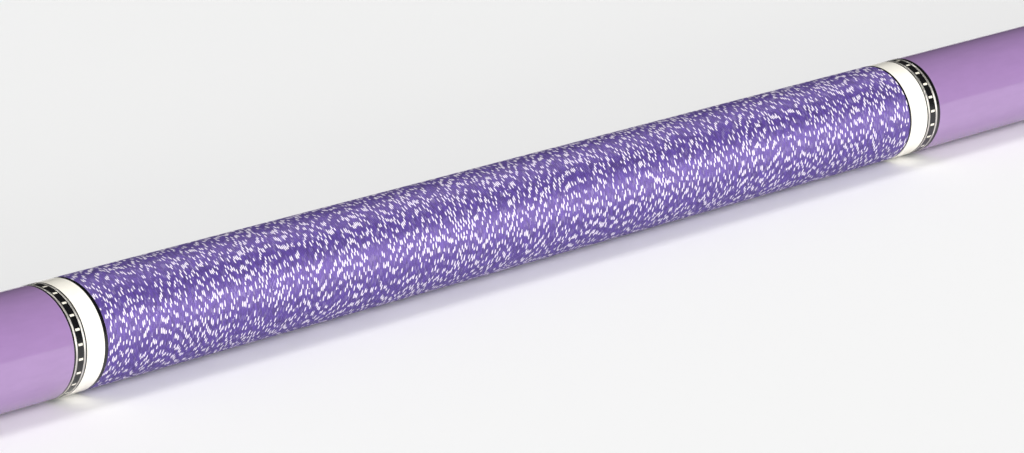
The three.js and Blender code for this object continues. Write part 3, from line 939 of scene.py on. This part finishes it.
class CUE_OT_shaft(bpy.types.Operator):
    """Turn the maple shaft, its ferrule, the fibre pad and the domed leather tip"""
    bl_idname = "cue.shaft"
    bl_label = "Shaft and tip"

    def execute(self, context):
        ferrule_start, pad_start = span("ferrule")[0], span("tip_pad")[0]
        edge = context.scene.cue_sizes.ring_edge / MM
        hole_end, hole_radius = 770, 6.05
        mouth = JOINT_X + 0.2
        tenon_end = 1460
        skin = outside(SHAFT_RING_END_X, ferrule_start, shaft_radius, edge)
        outline = [(hole_end, 0), (hole_end, hole_radius), (mouth, hole_radius), (mouth, TENON_RADIUS),
                   (SHAFT_RING_END_X, TENON_RADIUS), *skin, (ferrule_start, FERRULE_TENON_RADIUS),
                   (tenon_end, FERRULE_TENON_RADIUS), (tenon_end, 0)]
        fit(turn("shaft_maple", outline), "shaft", "maple_shaft", "shaft", finish_of("maple_shaft"))

        bore = FERRULE_TENON_RADIUS + GLUE
        outline = [(tenon_end + GLUE, 0), (tenon_end + GLUE, bore), (ferrule_start, bore),
                   *outside(ferrule_start, pad_start, shaft_radius, edge), (pad_start, 0)]
        fit(turn("ferrule_resin", outline), "shaft", "white_collar", "ferrule", finish_of("white_collar"))

        start, end = span("tip_pad")
        outline = [(start, 0), *outside(start, end, shaft_radius, edge), (end, 0)]
        fit(turn("tip_pad_fibre", outline), "shaft", "fibre_pad", "tip_pad", finish_of("fibre_pad"))

        start, end = span("tip")
        rim, dome_x = 6.5, 1469.6
        height = end - dome_x
        dome = (rim ** 2 + height ** 2) / (2 * height)
        widest = math.asin(rim / dome)
        swept = [(end - dome * (1 - math.cos(a)), dome * math.sin(a))
                 for a in (widest * (1 - i / 12) for i in range(13))]
        outline = [(start, 0), (start, rim - edge), (start + edge, rim - 0.01), (start + 1.6, rim),
                   (dome_x - 0.4, rim), *swept[1:]]
        fit(turn("tip_leather", outline), "shaft", "leather_tip", "tip", finish_of("leather_tip"))
        return {"FINISHED"}


OPERATORS = (CUE_OT_stage, CUE_OT_bumper, CUE_OT_butt_cap, CUE_OT_rings, CUE_OT_dash_bands,
             CUE_OT_lacquered_wood, CUE_OT_wrap, CUE_OT_core, CUE_OT_joint, CUE_OT_shaft)


class CUE_PT_panel(bpy.types.Panel):
    """Lists the cue's sizes, colours and pieces"""
    bl_label = "Pool Cue"
    bl_idname = "CUE_PT_panel"
    bl_space_type = "VIEW_3D"
    bl_region_type = "UI"
    bl_category = "Pool Cue"

    def draw(self, context):
        for group in (context.scene.cue_sizes, context.scene.cue_colours):
            box = self.layout.box()
            for key in group.bl_rna.properties.keys():
                if key not in ("rna_type", "name"):
                    box.prop(group, key)
        for operator in OPERATORS:
            self.layout.operator(operator.bl_idname)


CLASSES = (CueSizes, CueColours, *OPERATORS, CUE_PT_panel)


def register():
    for each in CLASSES:
        bpy.utils.register_class(each)
    bpy.types.Scene.cue_sizes = bpy.props.PointerProperty(type=CueSizes)
    bpy.types.Scene.cue_colours = bpy.props.PointerProperty(type=CueColours)


def unregister():
    del bpy.types.Scene.cue_colours
    del bpy.types.Scene.cue_sizes
    for each in reversed(CLASSES):
        bpy.utils.unregister_class(each)


def main():
    register()
    for operator in OPERATORS:
        group, name = operator.bl_idname.split(".")
        getattr(getattr(bpy.ops, group), name)()


if __name__ == "__main__":
    main()
